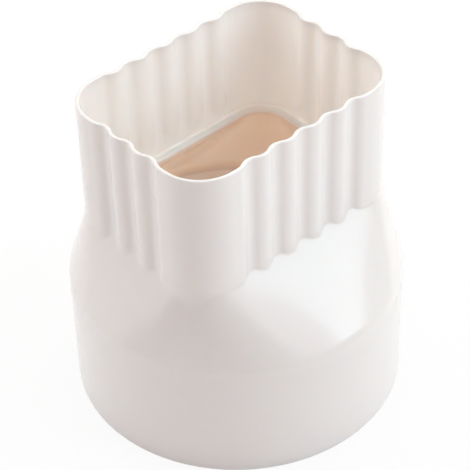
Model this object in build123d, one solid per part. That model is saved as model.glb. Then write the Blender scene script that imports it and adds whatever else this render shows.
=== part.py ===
from build123d import *
import math
import os

# Downspout adapter, one moulding: a fluted rectangular socket on top, a square-to-round
# shoulder in the middle and a round hub below. Millimetres, +Z up, origin in the middle of
# the hub's lower rim. The long sides of the socket run along X.

# Hub, which slides over the end of the drain pipe
PIPE_RADIUS = 53.53
PIPE_CLEARANCE = 0.27
PIPE_DEPTH = 40.0
HUB_WALL = 2.7
HUB_RIM_EASE = 0.5

# Stop inside the hub, which the end of the drain pipe meets
STOP_STEP = 1.8
STOP_HEIGHT = 5.0

# Socket, which takes the end of the downspout: inside sizes between the plain corners
SOCKET_LENGTH = 84.2
SOCKET_WIDTH = 62.9
SOCKET_CORNER = 13.1
SOCKET_DEPTH = 41.9
SOCKET_WALL = 1.8
SOCKET_RIM_EASE = 0.35

# Flutes round the socket: tangent arcs for ridge and groove, so the wall keeps its thickness
FLUTE_PITCH = 10.73
FLUTE_DEPTH = 1.3
RIDGE_RADIUS = 4.2

# Seat at the foot of the socket, which the end of the downspout rests on
SEAT_WIDTH = 3.4
SEAT_THICKNESS = 2.0
SEAT_FOOT_EASE = 0.8
THROAT_EASE = 0.5

# Shoulder, which starts above the pipe's end and runs in under the flutes
CROWN_HEIGHT = 4.0
CROWN_ROUND = 12.0
SHOULDER_HEIGHT = 29.0
SHOULDER_RUN_IN_LENGTH = 0.1
SHOULDER_RUN_IN_WIDTH = 0.35
SHOULDER_CORNER_EASE = 4.1
SEAT_RISE = 1.5

# Radii and heights that follow
HUB_BORE = PIPE_RADIUS + PIPE_CLEARANCE
HUB_RADIUS = HUB_BORE + HUB_WALL
STOP_RADIUS = HUB_BORE - STOP_STEP
STOP_TOP_Z = PIPE_DEPTH + STOP_HEIGHT
CROWN_Z = PIPE_DEPTH + CROWN_HEIGHT
SHOULDER_TOP_Z = CROWN_Z + SHOULDER_HEIGHT
SEAT_Z = SHOULDER_TOP_Z + SEAT_RISE
THROAT_Z = SEAT_Z - SEAT_THICKNESS
RIM_Z = SEAT_Z + SOCKET_DEPTH

# Throat, which leaves a seat of one width round the socket
THROAT_LENGTH = SOCKET_LENGTH - 2 * SEAT_WIDTH
THROAT_WIDTH = SOCKET_WIDTH - 2 * SEAT_WIDTH
THROAT_CORNER = SOCKET_CORNER - SEAT_WIDTH

# Flutes: the flank leans by this angle where the arcs of a ridge and a groove meet
FLANK_ANGLE = 2 * math.atan(FLUTE_DEPTH / (FLUTE_PITCH / 2))
GROOVE_RADIUS = FLUTE_PITCH / 2 / math.sin(FLANK_ANGLE) - RIDGE_RADIUS


def fluted_side(length, across, inset):
    """Edges of the side that faces -Y, drawn from -X to +X between the corners.

    length and across are the socket's inside sizes along and across the side, and inset is
    how far inside the outer surface the edges lie. The outermost ridges are half arcs, which
    run into the plain ends of the side.
    """
    level = across / 2 + SOCKET_WALL
    reach = length / 2 - SOCKET_CORNER
    flutes = math.floor(2 * reach / FLUTE_PITCH)
    start = -flutes * FLUTE_PITCH / 2
    flank = math.degrees(FLANK_ANGLE)
    ridge_y = RIDGE_RADIUS - level
    groove_y = FLUTE_DEPTH - level - GROOVE_RADIUS
    ridge = RIDGE_RADIUS - inset
    groove = GROOVE_RADIUS + inset
    edges = [Line((-reach, inset - level), (start, inset - level))]
    edges.append(CenterArc((start, ridge_y), ridge, 270, flank))
    for number in range(flutes):
        middle = start + (number + 0.5) * FLUTE_PITCH
        turn = flank if number == flutes - 1 else 2 * flank
        edges.append(CenterArc((middle, groove_y), groove, 90 + flank, -2 * flank))
        edges.append(CenterArc((middle + FLUTE_PITCH / 2, ridge_y), ridge, 270 - flank, turn))
    edges.append(Line((-start, inset - level), (reach, inset - level)))
    return edges


def fluted_outline(inset):
    """Face inside the fluted socket's outline, moved inwards by inset."""
    corner_x = SOCKET_LENGTH / 2 - SOCKET_CORNER
    corner_y = SOCKET_WIDTH / 2 - SOCKET_CORNER
    corner_radius = SOCKET_CORNER + SOCKET_WALL - inset
    half = fluted_side(SOCKET_LENGTH, SOCKET_WIDTH, inset)
    half.append(CenterArc((corner_x, -corner_y), corner_radius, 270, 90))
    half += [Rot(0, 0, 90) * edge for edge in fluted_side(SOCKET_WIDTH, SOCKET_LENGTH, inset)]
    half.append(CenterArc((corner_x, corner_y), corner_radius, 0, 90))
    return make_face(half + [Rot(0, 0, 180) * edge for edge in half])


def shoulder_outline():
    """Face inside the shoulder's top outline, just inside the floors of the flutes."""
    floor = SOCKET_WALL - FLUTE_DEPTH
    return RectangleRounded(
        SOCKET_LENGTH + 2 * (floor - SHOULDER_RUN_IN_LENGTH),
        SOCKET_WIDTH + 2 * (floor - SHOULDER_RUN_IN_WIDTH),
        SOCKET_CORNER + SOCKET_WALL - SHOULDER_CORNER_EASE,
    )


def tapered(bottom, bottom_z, top, top_z):
    """Solid of straight lines from one outline up to another."""
    return loft([Pos(0, 0, bottom_z) * bottom, Pos(0, 0, top_z) * top], ruled=True)


def upright(outline, bottom_z, top_z):
    """Solid that fills an outline between two heights."""
    return Pos(0, 0, bottom_z) * extrude(outline, top_z - bottom_z)


def edges_at(solid, height):
    """Edges of a solid that lie flat at one height."""
    return solid.edges().filter_by_position(Axis.Z, height, height).filter_by(
        lambda edge: math.isclose(edge.bounding_box().size.Z, 0, abs_tol=1e-4)
    )


def outer_form():
    """The adapter's outside, solid inside."""
    hub = upright(Circle(HUB_RADIUS), 0, CROWN_Z)
    shoulder = tapered(Circle(HUB_RADIUS), CROWN_Z, shoulder_outline(), SHOULDER_TOP_Z)
    lower = hub + shoulder
    lower = fillet(edges_at(lower, CROWN_Z), CROWN_ROUND)
    return lower + upright(fluted_outline(0), CROWN_Z, RIM_Z)


def water_way():
    """The space inside: pipe bore, stop, funnel, throat and downspout socket."""
    throat = RectangleRounded(THROAT_LENGTH, THROAT_WIDTH, THROAT_CORNER)
    socket = upright(fluted_outline(SOCKET_WALL), SEAT_Z, RIM_Z)
    space = upright(Circle(HUB_BORE), 0, PIPE_DEPTH)
    space += upright(Circle(STOP_RADIUS), 0, STOP_TOP_Z)
    space += tapered(Circle(STOP_RADIUS), STOP_TOP_Z, throat, THROAT_Z)
    space += upright(throat, THROAT_Z, SEAT_Z)
    return space + chamfer(edges_at(socket, SEAT_Z), SEAT_FOOT_EASE)


def adapter_body():
    """The whole moulding, with the edges of its rims and its throat eased."""
    body = outer_form() - water_way()
    body = chamfer(edges_at(body, RIM_Z), SOCKET_RIM_EASE)
    body = chamfer(edges_at(body, 0), HUB_RIM_EASE)
    seat = body.faces().filter_by(Axis.Z).filter_by_position(Axis.Z, SEAT_Z, SEAT_Z)[0]
    return body.chamfer(THROAT_EASE, None, seat.inner_wires()[0].edges())


os.makedirs("parts", exist_ok=True)
export_step(adapter_body(), "parts/adapter_body.step")
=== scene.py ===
import logging
import math
from collections.abc import Callable
from dataclasses import dataclass, field
from enum import Enum

import bmesh
import bpy
import numpy as np
from mathutils import Matrix, Vector


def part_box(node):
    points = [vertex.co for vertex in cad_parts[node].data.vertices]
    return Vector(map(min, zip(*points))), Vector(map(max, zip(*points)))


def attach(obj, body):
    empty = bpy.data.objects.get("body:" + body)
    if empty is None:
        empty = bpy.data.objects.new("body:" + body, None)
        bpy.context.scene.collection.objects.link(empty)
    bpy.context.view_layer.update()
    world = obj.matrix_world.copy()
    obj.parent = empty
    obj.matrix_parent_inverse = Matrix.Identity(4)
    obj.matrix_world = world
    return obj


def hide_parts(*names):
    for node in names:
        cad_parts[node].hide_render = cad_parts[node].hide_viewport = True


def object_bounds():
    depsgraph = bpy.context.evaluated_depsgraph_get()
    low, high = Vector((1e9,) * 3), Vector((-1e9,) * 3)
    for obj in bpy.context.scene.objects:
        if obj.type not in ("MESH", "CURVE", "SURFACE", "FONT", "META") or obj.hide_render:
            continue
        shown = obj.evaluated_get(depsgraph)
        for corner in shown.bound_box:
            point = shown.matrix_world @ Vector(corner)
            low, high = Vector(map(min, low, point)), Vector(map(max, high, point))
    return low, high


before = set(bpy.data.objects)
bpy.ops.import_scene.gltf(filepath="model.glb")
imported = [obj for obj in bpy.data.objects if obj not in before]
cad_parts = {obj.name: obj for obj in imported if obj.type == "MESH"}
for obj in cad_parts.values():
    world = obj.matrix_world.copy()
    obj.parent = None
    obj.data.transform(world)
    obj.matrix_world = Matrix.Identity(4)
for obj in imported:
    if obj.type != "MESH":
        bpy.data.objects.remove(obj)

# White plastic downspout adapter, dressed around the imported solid. The adapter and the camera
# are measured in millimetres and the studio in metres, all in the solid's own frame.

CAD_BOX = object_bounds()
MILLIMETRE = 0.001
TURN = 2 * math.pi

Colour = tuple[float, float, float, float]
Tint = tuple[float, float, float]

log = logging.getLogger("adapter")


class Stretch(Enum):
    """A stretch of the moulding: its share of the painted warm bounce light and shade, and of the glow of
    the heavier translucency.
    """

    OUTSIDE = (0.0, 0.0)
    RIM = (0.15, 0.0)
    SOCKET = (0.5, 0.55)
    SEAT = (0.6, 0.6)
    FUNNEL = (1.0, 0.8)
    HUB = (1.0, 0.55)


class Signal:
    """A value on a material's sheet of nodes, which takes part in Python sums."""

    def __init__(self, sheet: "NodeSheet", socket: bpy.types.NodeSocket) -> None:
        """Wraps one output socket of the sheet."""
        self.sheet = sheet
        self.socket = socket

    def _sum(self, operation: str, first: "Signal | float", second: "Signal | float") -> "Signal":
        """Adds one Math node to the sheet.

        Args:
            operation: the Math node's operation.
            first: the value on its upper socket.
            second: the value on its lower socket.

        Returns:
            The node's result.
        """
        node = self.sheet.node("ShaderNodeMath", {"operation": operation}, {0: first, 1: second})
        return Signal(self.sheet, node.outputs[0])

    def __add__(self, other: "Signal | float") -> "Signal":
        """Sum of two values."""
        return self._sum("ADD", self, other)

    def __radd__(self, other: float) -> "Signal":
        """Sum with a number in front."""
        return self._sum("ADD", other, self)

    def __sub__(self, other: "Signal | float") -> "Signal":
        """Difference of two values."""
        return self._sum("SUBTRACT", self, other)

    def __rsub__(self, other: float) -> "Signal":
        """Difference from a number in front."""
        return self._sum("SUBTRACT", other, self)

    def __mul__(self, other: "Signal | float") -> "Signal":
        """Product of two values."""
        return self._sum("MULTIPLY", self, other)

    def __rmul__(self, other: float) -> "Signal":
        """Product with a number in front."""
        return self._sum("MULTIPLY", other, self)


class NodeSheet:
    """The nodes of one material or of the world."""

    def __init__(self, owner: bpy.types.Material | bpy.types.World) -> None:
        """Clears the owner's nodes and keeps the tree.

        Args:
            owner: the material or world that the nodes belong to.
        """
        owner.use_nodes = True
        self.tree = owner.node_tree
        self.tree.nodes.clear()

    def node(self, kind: str, settings: dict[str, object],
             inputs: dict[str | int, object]) -> bpy.types.Node:
        """Adds a node of any type.

        Args:
            kind: the node's type name.
            settings: the node's own properties, set first.
            inputs: values, signals or sockets for its input sockets, by name or number.

        Returns:
            The new node.
        """
        made = self.tree.nodes.new(kind)
        for name, value in settings.items():
            setattr(made, name, value)
        for name, value in inputs.items():
            if isinstance(value, Signal):
                self.tree.links.new(value.socket, made.inputs[name])
            elif isinstance(value, bpy.types.NodeSocket):
                self.tree.links.new(value, made.inputs[name])
            else:
                made.inputs[name].default_value = value
        return made

    def noise(self, scale: float, detail: float) -> Signal:
        """Soft noise in the piece's own space.

        Args:
            scale: waves to the metre.
            detail: octaves of finer noise.

        Returns:
            A value from 0 to 1.
        """
        place = self.node("ShaderNodeTexCoord", {}, {}).outputs["Object"]
        cloud = self.node("ShaderNodeTexNoise", {}, {"Vector": place, "Scale": scale, "Detail": detail})
        return Signal(self, cloud.outputs[0])

    def layer(self, name: str) -> Signal:
        """A float layer of the piece's mesh."""
        reading = self.node("ShaderNodeAttribute", {"attribute_name": name}, {})
        return Signal(self, reading.outputs["Fac"])

    def mix_colour(self, factor: Signal, first: Colour | bpy.types.NodeSocket,
                   second: Colour) -> bpy.types.NodeSocket:
        """Blends two colours.

        Args:
            factor: 0 for the first colour, 1 for the second.
            first: a colour or a colour socket.
            second: a colour.

        Returns:
            The blended colour's socket.
        """
        settings = {"data_type": "RGBA"}
        mixed = self.node("ShaderNodeMix", settings, {0: factor, 6: first, 7: second})
        return mixed.outputs[2]

    def mix_shaders(self, factor: Signal, first: bpy.types.Node, second: bpy.types.Node) -> bpy.types.Node:
        """Blends two shaders.

        Args:
            factor: 0 for the first shader, 1 for the second.
            first: a shader's node.
            second: another shader's node.

        Returns:
            The blending node.
        """
        parts = {0: factor, 1: first.outputs[0], 2: second.outputs[0]}
        return self.node("ShaderNodeMixShader", {}, parts)

    def surface(self, shader: bpy.types.Node) -> None:
        """Joins a shader to the material's output."""
        self.node("ShaderNodeOutputMaterial", {}, {"Surface": shader.outputs[0]})


@dataclass(frozen=True)
class Translucency:
    """How far light wanders inside a plastic, and how much of it does."""

    spread: Tint
    depth: float
    share: float

    def inputs(self) -> dict[str, object]:
        """The values for a Principled shader's sockets."""
        return {
            "Subsurface Weight": self.share,
            "Subsurface Radius": self.spread,
            "Subsurface Scale": self.depth,
        }


@dataclass(frozen=True)
class WhitePlastic:
    """Warm white rigid plastic, semi-gloss as it comes from the mould."""

    slot: str = "white_plastic"
    painted_bounce_shade_layer: str = "painted_bounce_shade"
    glow_layer: str = "glow"
    outside: Colour = (0.92, 0.875, 0.85, 1.0)
    # The inside colour is painted warm bounce light for the socket's inner walls, lighter than the outside,
    # and the colour below it is painted warm shade for the funnel and the hub's bore.
    inside: Colour = (0.985, 0.93, 0.87, 1.0)
    painted_deep_shade: Colour = (0.865, 0.645, 0.55, 1.0)
    clouding: Colour = (0.89, 0.84, 0.81, 1.0)
    cloud_scale: float = 26.0
    cloud_detail: float = 3.0
    cloud_strength: float = 0.35
    roughness: float = 0.17
    roughness_swing: float = 0.02
    refraction: float = 1.53
    skin: Translucency = Translucency((1.0, 0.7, 0.5), 0.006, 0.3)
    heart: Translucency = Translucency((1.0, 0.56, 0.42), 0.035, 1.0)
    ripple_scale: float = 70.0
    ripple_detail: float = 1.0
    ripple_height: float = 0.00004
    grain_scale: float = 1400.0
    grain_detail: float = 2.0
    grain_share: float = 0.05
    bump_strength: float = 0.35

    def make(self) -> bpy.types.Material:
        """Builds the material.

        Returns:
            The material, ready for a mesh that carries the glow layer and the layer of painted bounce light
            and shade.
        """
        material = bpy.data.materials.new(self.slot)
        sheet = NodeSheet(material)
        ripple = sheet.noise(self.ripple_scale, self.ripple_detail)
        shared = {
            "Base Color": self.colour(sheet),
            "Roughness": self.roughness - self.roughness_swing / 2 + ripple * self.roughness_swing,
            "IOR": self.refraction,
            "Normal": self.relief(sheet, ripple),
        }
        skin = sheet.node("ShaderNodeBsdfPrincipled", {}, shared | self.skin.inputs())
        heart = sheet.node("ShaderNodeBsdfPrincipled", {}, shared | self.heart.inputs())
        sheet.surface(sheet.mix_shaders(sheet.layer(self.glow_layer), skin, heart))
        return material

    def colour(self, sheet: NodeSheet) -> bpy.types.NodeSocket:
        """Clouded white that turns to painted warm bounce light at half share, and on to painted warm shade.

        Args:
            sheet: the material's nodes.

        Returns:
            The colour's socket.
        """
        cloud = sheet.noise(self.cloud_scale, self.cloud_detail)
        colour = sheet.mix_colour(cloud * self.cloud_strength, self.outside, self.clouding)
        # Painted light: the layer's share turns the white to painted warm bounce light inside the socket and
        # a little on the rim, and on to painted warm shade in the funnel and the hub.
        painted_bounce_shade = 2.0 * sheet.layer(self.painted_bounce_shade_layer)
        colour = sheet.mix_colour(painted_bounce_shade, colour, self.inside)
        return sheet.mix_colour(painted_bounce_shade - 1.0, colour, self.painted_deep_shade)

    def relief(self, sheet: NodeSheet, ripple: Signal) -> bpy.types.NodeSocket:
        """Slow ripples and fine grain of the mould.

        Args:
            sheet: the material's nodes.
            ripple: the slow ripples.

        Returns:
            The bumped normal's socket.
        """
        grain = sheet.noise(self.grain_scale, self.grain_detail)
        height = ripple + grain * self.grain_share
        inputs = {"Strength": self.bump_strength, "Distance": self.ripple_height, "Height": height}
        return sheet.node("ShaderNodeBump", {}, inputs).outputs[0]


@dataclass(frozen=True)
class FloorWhite:
    """Pale floor that the camera and the gloss see as white, with the shadows kept."""

    name: str = "floor_white"
    colour: Colour = (0.9, 0.9, 0.9, 1.0)
    white: float = 1.0
    white_share: float = 0.88

    def make(self) -> bpy.types.Material:
        """Builds the material.

        Returns:
            The floor's material.
        """
        material = bpy.data.materials.new(self.name)
        sheet = NodeSheet(material)
        rays = sheet.node("ShaderNodeLightPath", {}, {}).outputs
        seen = Signal(sheet, rays["Is Camera Ray"])
        seen = seen + Signal(sheet, rays["Is Glossy Ray"])
        seen = seen + Signal(sheet, rays["Is Transmission Ray"])
        plain = sheet.node("ShaderNodeBsdfDiffuse", {}, {"Color": self.colour})
        glow = sheet.node("ShaderNodeEmission", {}, {"Strength": self.white})
        sheet.surface(sheet.mix_shaders(seen * self.white_share, plain, glow))
        return material


@dataclass(frozen=True)
class BandBlack:
    """Dull black of the band that the gloss mirrors."""

    name: str = "band_black"
    colour: Colour = (0.02, 0.02, 0.02, 1.0)

    def make(self) -> bpy.types.Material:
        """Builds the material.

        Returns:
            The band's material.
        """
        material = bpy.data.materials.new(self.name)
        sheet = NodeSheet(material)
        sheet.surface(sheet.node("ShaderNodeBsdfDiffuse", {}, {"Color": self.colour}))
        return material


def outward(bearing: float, elevation: float) -> Vector:
    """Direction away from the adapter.

    Args:
        bearing: degrees from -Y round towards +X.
        elevation: degrees up from the level.

    Returns:
        A vector of length 1.
    """
    turn = math.radians(bearing)
    rise = math.radians(elevation)
    level = math.cos(rise)
    return Vector((math.sin(turn) * level, -math.cos(turn) * level, math.sin(rise)))


def put_in_scene(name: str, data: bpy.types.ID) -> bpy.types.Object:
    """Adds an object to the scene.

    Args:
        name: the object's name.
        data: its mesh, lamp or camera.

    Returns:
        The new object, at the origin.
    """
    made = bpy.data.objects.new(name, data)
    bpy.context.scene.collection.objects.link(made)
    return made


def put_mesh(name: str, mesh: bmesh.types.BMesh, material: bpy.types.Material) -> bpy.types.Object:
    """Turns a finished mesh into an object of the scene.

    Args:
        name: the object's name.
        mesh: the mesh, which is freed.
        material: the material of all its faces.

    Returns:
        The new object, at the origin.
    """
    data = bpy.data.meshes.new(name)
    mesh.to_mesh(data)
    mesh.free()
    data.materials.append(material)
    return put_in_scene(name, data)


def bearing_radius(points: np.ndarray, bearings: np.ndarray) -> np.ndarray:
    """How far an outline lies from the middle in given directions.

    Args:
        points: the outline's points as complex numbers.
        bearings: directions in radians.

    Returns:
        One radius for each direction.
    """
    return np.interp(bearings, np.angle(points), np.abs(points), period=TURN)


def walked(points: np.ndarray, count: int) -> np.ndarray:
    """Points at even steps along a closed outline, from its first point on.

    Args:
        points: the outline's points as complex numbers.
        count: how many steps.

    Returns:
        The points at the steps.
    """
    closed = np.append(points, points[0])
    run = np.concatenate([[0.0], np.cumsum(np.abs(np.diff(closed)))])
    steps = np.arange(count) / count * run[-1]
    return np.interp(steps, run, closed.real) + 1j * np.interp(steps, run, closed.imag)


def eased(share: float) -> float:
    """A share from 0 to 1, with a slow start and a slow end."""
    return share**2 * (3 - 2 * share)


@dataclass(frozen=True)
class RoundedBox:
    """Outline of a rectangle with round corners, long sides along X."""

    half_length: float
    half_width: float
    corner: float
    arc_points: int = 240
    steps: int = 2880

    def points(self) -> np.ndarray:
        """Walks round the outline.

        Returns:
            Points at even steps, from the middle of the side at +X, as complex numbers.
        """
        reach_x = self.half_length - self.corner
        reach_y = self.half_width - self.corner
        arc = self.corner * np.exp(1j * np.linspace(0, math.pi / 2, self.arc_points))
        first = complex(reach_x, reach_y) + arc
        second = -np.conj(first[::-1])
        bends = np.concatenate([[self.half_length + 0j], first, second, -first, -second])
        return walked(bends, self.steps)

    def grown(self, amount: float) -> "RoundedBox":
        """The outline moved outwards by an amount."""
        return RoundedBox(self.half_length + amount, self.half_width + amount, self.corner + amount)


@dataclass(frozen=True)
class FlutedOutline:
    """Outer outline of the socket: flat sides between round corners, waved by flutes."""

    half_length: float = 43.9
    half_width: float = 33.25
    corner: float = 14.9
    pitch: float = 10.73
    depth: float = 1.45
    ridge_radius: float = 6.4
    step: float = 0.04

    def flank(self) -> float:
        """Angle at which the arcs of a ridge and a groove meet."""
        return 2 * math.atan(self.depth / (self.pitch / 2))

    def side(self, reach: float, level: float) -> tuple[np.ndarray, np.ndarray]:
        """The side that faces -Y, from -X to +X.

        Args:
            reach: half the length of the side between the corners.
            level: distance of the ridges from the middle.

        Returns:
            Points on the side and the outward directions there, as complex numbers.
        """
        along = np.arange(-reach, reach, self.step)
        flutes = math.floor(2 * reach / self.pitch)
        end = flutes * self.pitch / 2
        groove_radius = self.pitch / 2 / math.sin(self.flank()) - self.ridge_radius
        from_ridge = (along + end + self.pitch / 2) % self.pitch - self.pitch / 2
        from_groove = (along + end) % self.pitch - self.pitch / 2
        plain = np.abs(along) > end
        ridged = np.abs(from_ridge) <= self.ridge_radius * math.sin(self.flank())
        lean = np.where(ridged, from_ridge / self.ridge_radius, -from_groove / groove_radius)
        lean = np.where(plain, 0.0, lean)
        rise = np.sqrt(1 - lean**2)
        ridge_dip = self.ridge_radius * (1 - rise)
        groove_dip = self.depth - groove_radius * (1 - rise)
        dip = np.where(ridged | plain, ridge_dip, groove_dip)
        return along + 1j * (dip - level), lean - 1j * rise

    def trace(self) -> tuple[np.ndarray, np.ndarray]:
        """Goes once round the outline.

        Returns:
            Points on the outline and the outward directions there, as complex numbers.
        """
        reach_x = self.half_length - self.corner
        reach_y = self.half_width - self.corner
        front, front_out = self.side(reach_x, self.half_width)
        end, end_out = self.side(reach_y, self.half_length)
        swing = np.exp(1j * np.arange(0, math.pi / 2, self.step / self.corner))
        first_out = -1j * swing
        first = complex(reach_x, -reach_y) + self.corner * first_out
        second = complex(reach_x, reach_y) + self.corner * swing
        half = np.concatenate([front, first, 1j * end, second])
        half_out = np.concatenate([front_out, first_out, 1j * end_out, swing])
        return np.concatenate([half, -half]), np.concatenate([half_out, -half_out])

    def inset(self, amount: float) -> np.ndarray:
        """Points of the outline moved inwards by an amount."""
        points, directions = self.trace()
        return points - amount * directions


@dataclass(frozen=True)
class Taper:
    """Surface of straight lines from a circle up to a rounded rectangle."""

    radius: float
    low: float
    top: RoundedBox
    high: float
    twist: float = 0.5
    levels: int = 61

    def shares(self) -> np.ndarray:
        """Shares of the way up at which the surface is worked out."""
        return np.linspace(0, 1, self.levels)

    def table(self, bearings: np.ndarray) -> np.ndarray:
        """Radius of the surface by level and direction.

        Args:
            bearings: directions in radians.

        Returns:
            One row of radii for each level, from the circle up.
        """
        square = self.top.points()
        along = np.roll(square, -1) - np.roll(square, 1)
        facing = np.unwrap(np.angle(-1j * along))
        even = TURN * np.arange(len(square)) / len(square)
        circle = self.radius * np.exp(1j * (facing + self.twist * (even - facing)))
        rows = [bearing_radius((1 - share) * circle + share * square, bearings) for share in self.shares()]
        return np.array(rows)

    def at(self, table: np.ndarray, heights: np.ndarray) -> np.ndarray:
        """Radius at one height in each direction.

        Args:
            table: radii by level and direction.
            heights: one height for each direction.

        Returns:
            One radius for each direction.
        """
        place = np.clip((heights - self.low) / (self.high - self.low), 0, 1) * (self.levels - 1)
        lower = np.minimum(place.astype(int), self.levels - 2)
        part = place - lower
        column = np.arange(table.shape[1])
        return (1 - part) * table[lower, column] + part * table[lower + 1, column]

    def lean(self, table: np.ndarray, heights: np.ndarray, span: float) -> np.ndarray:
        """Angle of the surface from the upright.

        Args:
            table: radii by level and direction.
            heights: one height for each direction.
            span: how far above and below that height the surface is looked at.

        Returns:
            One angle for each direction.
        """
        below = self.at(table, heights - span)
        above = self.at(table, heights + span)
        low = np.maximum(heights - span, self.low)
        high = np.minimum(heights + span, self.high)
        return np.arctan2(below - above, high - low)

    def meets(self, table: np.ndarray, radii: np.ndarray) -> np.ndarray:
        """Height at which the surface comes in to a radius.

        Args:
            table: radii by level and direction.
            radii: one radius for each direction.

        Returns:
            One height for each direction.
        """
        shares = self.shares()
        found = [np.interp(-radius, -column, shares) for radius, column in zip(radii, table.T)]
        return self.low + np.array(found) * (self.high - self.low)


class Skin:
    """A closed skin, grown ring by ring from a circle of vertices."""

    def __init__(self, bearings: np.ndarray, layers: tuple[str, str]) -> None:
        """Starts with one circle of vertices.

        Args:
            bearings: the direction of each column of vertices, rising from -pi to pi.
            layers: names of the float layers that take each ring's share of painted bounce light and shade,
                and its glow.
        """
        self.mesh = bmesh.new()
        self.bearings = bearings
        self.layers = [self.mesh.verts.layers.float.new(layer) for layer in layers]
        bmesh.ops.create_circle(self.mesh, cap_ends=False, radius=1.0, segments=len(bearings))
        self.ring = sorted(self.mesh.verts, key=self.direction)
        self.edges = list(self.mesh.edges)
        self.first_edges = list(self.edges)
        self.placed = False

    @staticmethod
    def direction(vertex: bmesh.types.BMVert) -> float:
        """Bearing of a vertex from the middle."""
        return math.atan2(vertex.co.y, vertex.co.x)

    def grow(self, radii: np.ndarray | float, heights: np.ndarray | float, stretch: Stretch) -> None:
        """Adds the next ring.

        Args:
            radii: one radius for each direction, or one for all.
            heights: one height for each direction, or one for all.
            stretch: the stretch of the moulding that the ring belongs to.
        """
        if self.placed:
            made = bmesh.ops.extrude_edge_only(self.mesh, edges=self.edges)["geom"]
            new = [item for item in made if isinstance(item, bmesh.types.BMVert)]
            kept = set(new)
            self.ring = sorted(new, key=self.direction)
            self.edges = [item for item in made
                          if isinstance(item, bmesh.types.BMEdge) and kept.issuperset(item.verts)]
        radii = np.broadcast_to(radii, self.bearings.shape)
        heights = np.broadcast_to(heights, self.bearings.shape)
        for vertex, bearing, radius, height in zip(self.ring, self.bearings, radii, heights):
            place = (radius * math.cos(bearing), radius * math.sin(bearing), height)
            vertex.co = Vector(place) * MILLIMETRE
            for layer, share in zip(self.layers, stretch.value):
                vertex[layer] = share
        self.placed = True

    def close(self) -> None:
        """Joins the last ring to the first, with smooth faces that look outwards."""
        bmesh.ops.bridge_loops(self.mesh, edges=self.first_edges + self.edges)
        bmesh.ops.recalc_face_normals(self.mesh, faces=self.mesh.faces)
        for face in self.mesh.faces:
            face.smooth = True


@dataclass(frozen=True)
class RingCounts:
    """How many rings of vertices each bend and slope of the moulding has."""

    hub_rim: int = 6
    crown: int = 15
    slope: int = 15
    run_out: int = 9
    rim: int = 7
    fade: int = 8
    seat_foot: int = 8
    throat: int = 7
    funnel: int = 12
    funnel_bend: int = 9
    stop: int = 5


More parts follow.
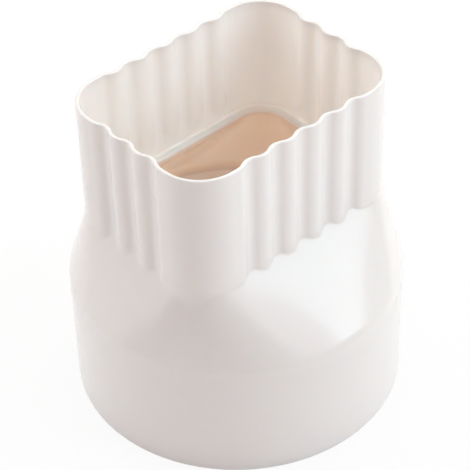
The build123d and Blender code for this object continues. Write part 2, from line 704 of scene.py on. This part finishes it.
@dataclass
class AdapterMoulding:
    """The whole adapter: hub below, shoulder, and fluted socket on top.

    The hub's radius and the rim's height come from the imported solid. hold is the length of wall
    that stays straight beside a round, and the spans are lengths that a slope is measured over.
    """

    node: str = "adapter_body"
    name: str = "adapter_moulding"
    columns: int = 720
    rings: RingCounts = RingCounts()
    hub_wall: float = 2.7
    hub_rim_round: float = 0.6
    pipe_depth: float = 40.0
    stop_step: float = 1.8
    stop_top: float = 45.0
    stop_round: float = 1.5
    funnel_round: float = 7.0
    crown: float = 44.0
    crown_round: float = 8.0
    crown_span: float = 4.0
    shoulder_top: float = 73.0
    shoulder_outline: RoundedBox = RoundedBox(42.5, 31.6, 10.8)
    run_out_round: float = 1.5
    run_out_growth: int = 3
    run_out_span: float = 1.0
    socket: FlutedOutline = FlutedOutline()
    socket_wall: float = 1.8
    rim_wall: float = 1.3
    rim_round: float = 0.6
    lead_in: float = 3.0
    fade: float = 7.0
    seat: float = 74.5
    seat_foot: float = 0.8
    seat_wall: RoundedBox = RoundedBox(41.3, 30.65, 12.3)
    throat: RoundedBox = RoundedBox(38.7, 28.05, 9.7)
    throat_low: float = 72.5
    throat_round: float = 0.7
    hold: float = 0.4
    finish: WhitePlastic = WhitePlastic()
    hub_radius: float = field(init=False)
    rim: float = field(init=False)
    bore: float = field(init=False)
    stop: float = field(init=False)
    skin: Skin = field(init=False)

    def __post_init__(self) -> None:
        """Takes the hub's radius and the rim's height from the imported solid, and starts the skin."""
        low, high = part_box(self.node)
        self.hub_radius = max(high[0], -low[0]) / MILLIMETRE
        self.rim = high[2] / MILLIMETRE
        self.bore = self.hub_radius - self.hub_wall
        self.stop = self.bore - self.stop_step
        bearings = np.sort(np.angle(walked(self.socket.trace()[0], self.columns)))
        self.skin = Skin(bearings, (self.finish.painted_bounce_shade_layer, self.finish.glow_layer))

    def build(self) -> bpy.types.Object:
        """Models and dresses the moulding.

        Returns:
            The finished piece.
        """
        self.grow_hub_outside()
        self.grow_shoulder()
        self.grow_socket()
        self.grow_throat()
        self.grow_funnel()
        self.grow_hub_inside()
        self.skin.close()
        piece = put_mesh(self.name, self.skin.mesh, self.finish.make())
        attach(piece, "root")
        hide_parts(self.node)
        return piece

    def rounded(self, radius: float, rings: int, ring: Callable[[float, float], None]) -> None:
        """Goes round a quarter of an arc, ring by ring.

        Args:
            radius: the arc's radius.
            rings: how many rings.
            ring: takes the distances along the arc's first and second side.
        """
        for angle in np.linspace(0, math.pi / 2, rings):
            ring(radius * math.sin(angle), radius * (1 - math.cos(angle)))

    def grow_bend(self, wall: float, corner: float, bend: float, turn: np.ndarray,
                  reach: np.ndarray, stretch: Stretch) -> None:
        """Adds one ring of the bend between an upright wall and the slope above it.

        Args:
            wall: the wall's radius.
            corner: height at which wall and slope would meet.
            bend: the bend's radius.
            turn: how far the bend has turned from the upright, in each direction.
            reach: how far below the corner the bend starts, in each direction.
            stretch: the stretch of the moulding that the ring belongs to.
        """
        radii = wall - bend * (1 - np.cos(turn))
        self.skin.grow(radii, corner - reach + bend * np.sin(turn), stretch)

    def grow_hub_outside(self) -> None:
        """The hub's lower rim and its outer wall."""
        edge = self.hub_rim_round
        inner = self.hub_radius - edge
        outside = Stretch.OUTSIDE
        self.rounded(edge, self.rings.hub_rim, lambda out, up: self.skin.grow(inner + out, up, outside))
        self.skin.grow(self.hub_radius, edge + self.hold, outside)

    def grow_shoulder(self) -> None:
        """The crown's round, the square-to-round slope, and the flutes' run-out at its top.

        The gentler the slope under a foot, the larger its run-out, so the corners flow into it.
        """
        outside = Stretch.OUTSIDE
        bearings = self.skin.bearings
        taper = Taper(self.hub_radius, self.crown, self.shoulder_outline, self.shoulder_top)
        table = taper.table(bearings)
        lean = taper.lean(table, np.full(len(bearings), self.crown), self.crown_span)
        reach = self.crown_round * np.tan(lean / 2)
        self.skin.grow(self.hub_radius, self.crown - reach - self.hold, outside)
        for turn in np.linspace(0, 1, self.rings.crown):
            self.grow_bend(self.hub_radius, self.crown, self.crown_round, turn * lean, reach, outside)
        wall = bearing_radius(self.socket.inset(0), bearings)
        foot = taper.meets(table, wall)
        foot_lean = taper.lean(table, foot, self.run_out_span)
        gentle = np.tan(foot_lean.max() / 2) / np.tan(foot_lean / 2)
        run_out = self.run_out_round * gentle**self.run_out_growth
        foot_reach = run_out * np.tan(foot_lean / 2)
        bottom = self.crown + reach * np.cos(lean)
        top = foot - foot_reach * np.cos(foot_lean)
        for share in np.linspace(0, 1, self.rings.slope)[1:-1]:
            heights = bottom + share * (top - bottom)
            self.skin.grow(taper.at(table, heights), heights, outside)
        for turn in np.linspace(1, 0, self.rings.run_out):
            radii = wall + run_out * (1 - np.cos(turn * foot_lean))
            self.skin.grow(radii, foot + foot_reach - run_out * np.sin(turn * foot_lean), outside)
        self.skin.grow(wall, foot + foot_reach + self.hold, outside)

    def grow_socket(self) -> None:
        """The fluted wall's rim, its lead-in and its inside, whose flutes fade out above the seat."""
        edge = self.rim_round
        top = self.rim - edge
        bearings = self.skin.bearings

        def ring(inset: float, height: float, stretch: Stretch) -> None:
            """Adds a ring along the fluted outline."""
            self.skin.grow(bearing_radius(self.socket.inset(inset), bearings), height, stretch)

        ring(0, top - self.hold, Stretch.OUTSIDE)
        self.rounded(edge, self.rings.rim, lambda up, inwards: ring(inwards, top + up, Stretch.OUTSIDE))
        inner = self.rim_wall - edge
        self.rounded(edge, self.rings.rim, lambda out, down: ring(inner + out, self.rim - down, Stretch.RIM))
        ring(self.socket_wall, self.rim - self.lead_in, Stretch.SOCKET)
        fluted = bearing_radius(self.socket.inset(self.socket_wall), bearings)
        plain = bearing_radius(self.seat_wall.points(), bearings)
        for share in np.linspace(0, 1, self.rings.fade)[:-1]:
            height = self.seat + self.seat_foot + self.fade * (1 - share)
            self.skin.grow(fluted + (plain - fluted) * eased(share), height, Stretch.SOCKET)

    def grow_throat(self) -> None:
        """The wall's foot, the seat and its edge, and the upright throat."""
        bearings = self.skin.bearings
        foot = self.seat + self.seat_foot
        wall = bearing_radius(self.seat_wall.points(), bearings)
        edge = self.throat_round
        seat = Stretch.SEAT

        def ring(amount: float, height: float, stretch: Stretch) -> None:
            """Adds a ring along the throat's outline, moved outwards by an amount."""
            radii = bearing_radius(self.throat.grown(amount).points(), bearings)
            self.skin.grow(radii, height, stretch)

        self.rounded(self.seat_foot, self.rings.seat_foot,
                     lambda down, inwards: self.skin.grow(wall - inwards, foot - down, seat))
        ring(edge + self.hold, self.seat, seat)
        self.rounded(edge, self.rings.throat,
                     lambda inwards, down: ring(edge - inwards, self.seat - down, seat))
        ring(0, self.throat_low + self.hold, Stretch.FUNNEL)

    def grow_funnel(self) -> None:
        """The round-to-square funnel and its bend into the stop for the pipe."""
        inside = Stretch.FUNNEL
        bearings = self.skin.bearings
        taper = Taper(self.stop, self.stop_top, self.throat, self.throat_low)
        table = taper.table(bearings)
        lean = taper.lean(table, np.full(len(bearings), self.stop_top), self.crown_span)
        reach = self.funnel_round * np.tan(lean / 2)
        bottom = self.stop_top + reach * np.cos(lean)
        for share in np.linspace(1, 0, self.rings.funnel):
            heights = bottom + share * (self.throat_low - bottom)
            self.skin.grow(taper.at(table, heights), heights, inside)
        for turn in np.linspace(1, 0, self.rings.funnel_bend)[1:]:
            self.grow_bend(self.stop, self.stop_top, self.funnel_round, turn * lean, reach, inside)

    def grow_hub_inside(self) -> None:
        """The stop for the pipe, the bore and the lower rim's inner edge."""
        inside = Stretch.HUB
        low = self.pipe_depth
        edge = self.stop_round
        top = low + edge
        self.skin.grow(self.stop, top + self.hold, inside)
        self.rounded(edge, self.rings.stop,
                     lambda down, out: self.skin.grow(self.stop + out, top - down, inside))
        self.skin.grow(self.bore, low, inside)
        self.skin.grow(self.bore, low - self.hold, inside)
        rim = self.hub_rim_round
        self.skin.grow(self.bore, rim + self.hold, inside)
        self.rounded(rim, self.rings.hub_rim,
                     lambda down, out: self.skin.grow(self.bore + out, rim - down, inside))


@dataclass(frozen=True)
class Softbox:
    """A soft lamp that faces the adapter."""

    name: str
    bearing: float
    elevation: float
    distance: float
    width: float
    height: float
    radiance: float
    tint: Tint

    def hang(self, target: Vector) -> None:
        """Hangs the lamp.

        Args:
            target: the point that it faces.
        """
        away = outward(self.bearing, self.elevation)
        data = bpy.data.lights.new(self.name, "AREA")
        data.shape = "RECTANGLE"
        data.size = self.width
        data.size_y = self.height
        data.energy = self.radiance * math.pi * self.width * self.height
        data.color = self.tint
        lamp = put_in_scene(self.name, data)
        lamp.location = target + away * self.distance
        lamp.rotation_mode = "QUATERNION"
        lamp.rotation_quaternion = away.to_track_quat("Z", "Y")
        lamp.visible_camera = False


@dataclass(frozen=True)
class Studio:
    """Pale floor, soft lamps, the light of the room, and a band for the gloss to mirror."""

    floor_reach: float = 8.0
    floor_drop: float = 0.0001
    floor_finish: FloorWhite = FloorWhite()
    band_from: float = -110.0
    band_to: float = 65.0
    band_radius: float = 0.25
    band_height: float = 0.1
    band_steps: int = 64
    band_finish: BandBlack = BandBlack()
    room_colour: Colour = (1.0, 0.765, 0.735, 1.0)
    room_strength: float = 0.31
    aim_height: float = 0.06
    lamps: tuple[Softbox, ...] = (
        Softbox("key", 41.0, 40.0, 1.5, 0.75, 1.3, 3.4, (0.74, 0.945, 1.0)),
        Softbox("skirt", 10.0, 30.0, 1.55, 0.95, 1.1, 0.57, (1.0, 0.85, 1.0)),
        Softbox("side", 88.0, 30.0, 1.6, 1.4, 1.4, 0.88, (1.0, 0.84, 0.72)),
        Softbox("behind_left", -150.0, 35.0, 1.7, 1.3, 1.3, 2.22, (0.91, 0.97, 1.0)),
        Softbox("over", 150.0, 80.0, 1.5, 1.3, 1.3, 2.02, (0.88, 1.0, 0.96)),
    )

    def build(self) -> None:
        """Sets up floor, band, lamps and room."""
        self.lay_floor()
        self.stand_band()
        for lamp in self.lamps:
            lamp.hang(Vector((0, 0, self.aim_height)))
        self.light_room()

    def lay_floor(self) -> None:
        """Lays the floor just under the adapter."""
        sheet = bmesh.new()
        bmesh.ops.create_grid(sheet, x_segments=1, y_segments=1, size=self.floor_reach)
        place = (0, 0, CAD_BOX[0].z - self.floor_drop)
        bmesh.ops.translate(sheet, vec=place, verts=sheet.verts)
        floor = put_mesh("floor", sheet, self.floor_finish.make())

    def stand_band(self) -> None:
        """Stands a low dark band before the adapter, which only its gloss mirrors."""
        sheet = bmesh.new()
        foot = outward(self.band_from, 0) * self.band_radius
        ends = [foot, foot + Vector((0, 0, self.band_height))]
        post = [bmesh.ops.create_vert(sheet, co=end)["vert"][0] for end in ends]
        edge = bmesh.ops.contextual_create(sheet, geom=post)["edges"]
        sweep = math.radians(self.band_to - self.band_from)
        bmesh.ops.spin(sheet, geom=post + edge, cent=(0, 0, 0), axis=(0, 0, 1), angle=sweep,
                       steps=self.band_steps)
        band = put_mesh("dark_band", sheet, self.band_finish.make())
        band.visible_camera = False
        band.visible_diffuse = False
        band.visible_shadow = False

    def light_room(self) -> None:
        """Gives the room its even light."""
        world = bpy.data.worlds.new("room")
        bpy.context.scene.world = world
        sheet = NodeSheet(world)
        inputs = {"Color": self.room_colour, "Strength": self.room_strength}
        back = sheet.node("ShaderNodeBackground", {}, inputs)
        sheet.node("ShaderNodeOutputWorld", {}, {"Surface": back.outputs[0]})


@dataclass(frozen=True)
class PhotoCamera:
    """The photograph's view of the adapter."""

    name: str = "photo_camera"
    bearing: float = -41.073
    elevation: float = 40.703
    roll: float = -1.676
    distance: float = 627.37
    aim_height: float = 55.0
    slide_right: float = -0.185
    slide_up: float = -0.534
    lens: float = 143.536
    sensor: float = 36.0
    nearest: float = 10.0
    farthest: float = 50000.0

    def place(self) -> None:
        """Makes the camera and gives it to the scene."""
        roll = math.radians(self.roll)
        back = outward(self.bearing, self.elevation)
        flat_right = outward(self.bearing + 90, 0)
        flat_up = back.cross(flat_right)
        right = math.cos(roll) * flat_right + math.sin(roll) * flat_up
        up = math.cos(roll) * flat_up - math.sin(roll) * flat_right
        centre = Vector((0, 0, self.aim_height)) + back * self.distance
        centre += right * self.slide_right + up * self.slide_up
        data = bpy.data.cameras.new(self.name)
        data.lens = self.lens
        data.sensor_width = self.sensor
        data.clip_start = self.nearest * MILLIMETRE
        data.clip_end = self.farthest * MILLIMETRE
        camera = put_in_scene(self.name, data)
        turn = Matrix((right, up, back)).transposed().to_4x4()
        camera.matrix_world = Matrix.Translation(centre * MILLIMETRE) @ turn
        bpy.context.scene.camera = camera


def main() -> None:
    """Builds the adapter, the studio and the camera, in order."""
    logging.basicConfig(level=logging.INFO, format="%(name)s: %(message)s")
    bpy.context.scene.view_settings.view_transform = "Standard"
    piece = AdapterMoulding().build()
    log.info("%s: %d faces", piece.name, len(piece.data.polygons))
    Studio().build()
    PhotoCamera().place()


if __name__ == "__main__":
    main()
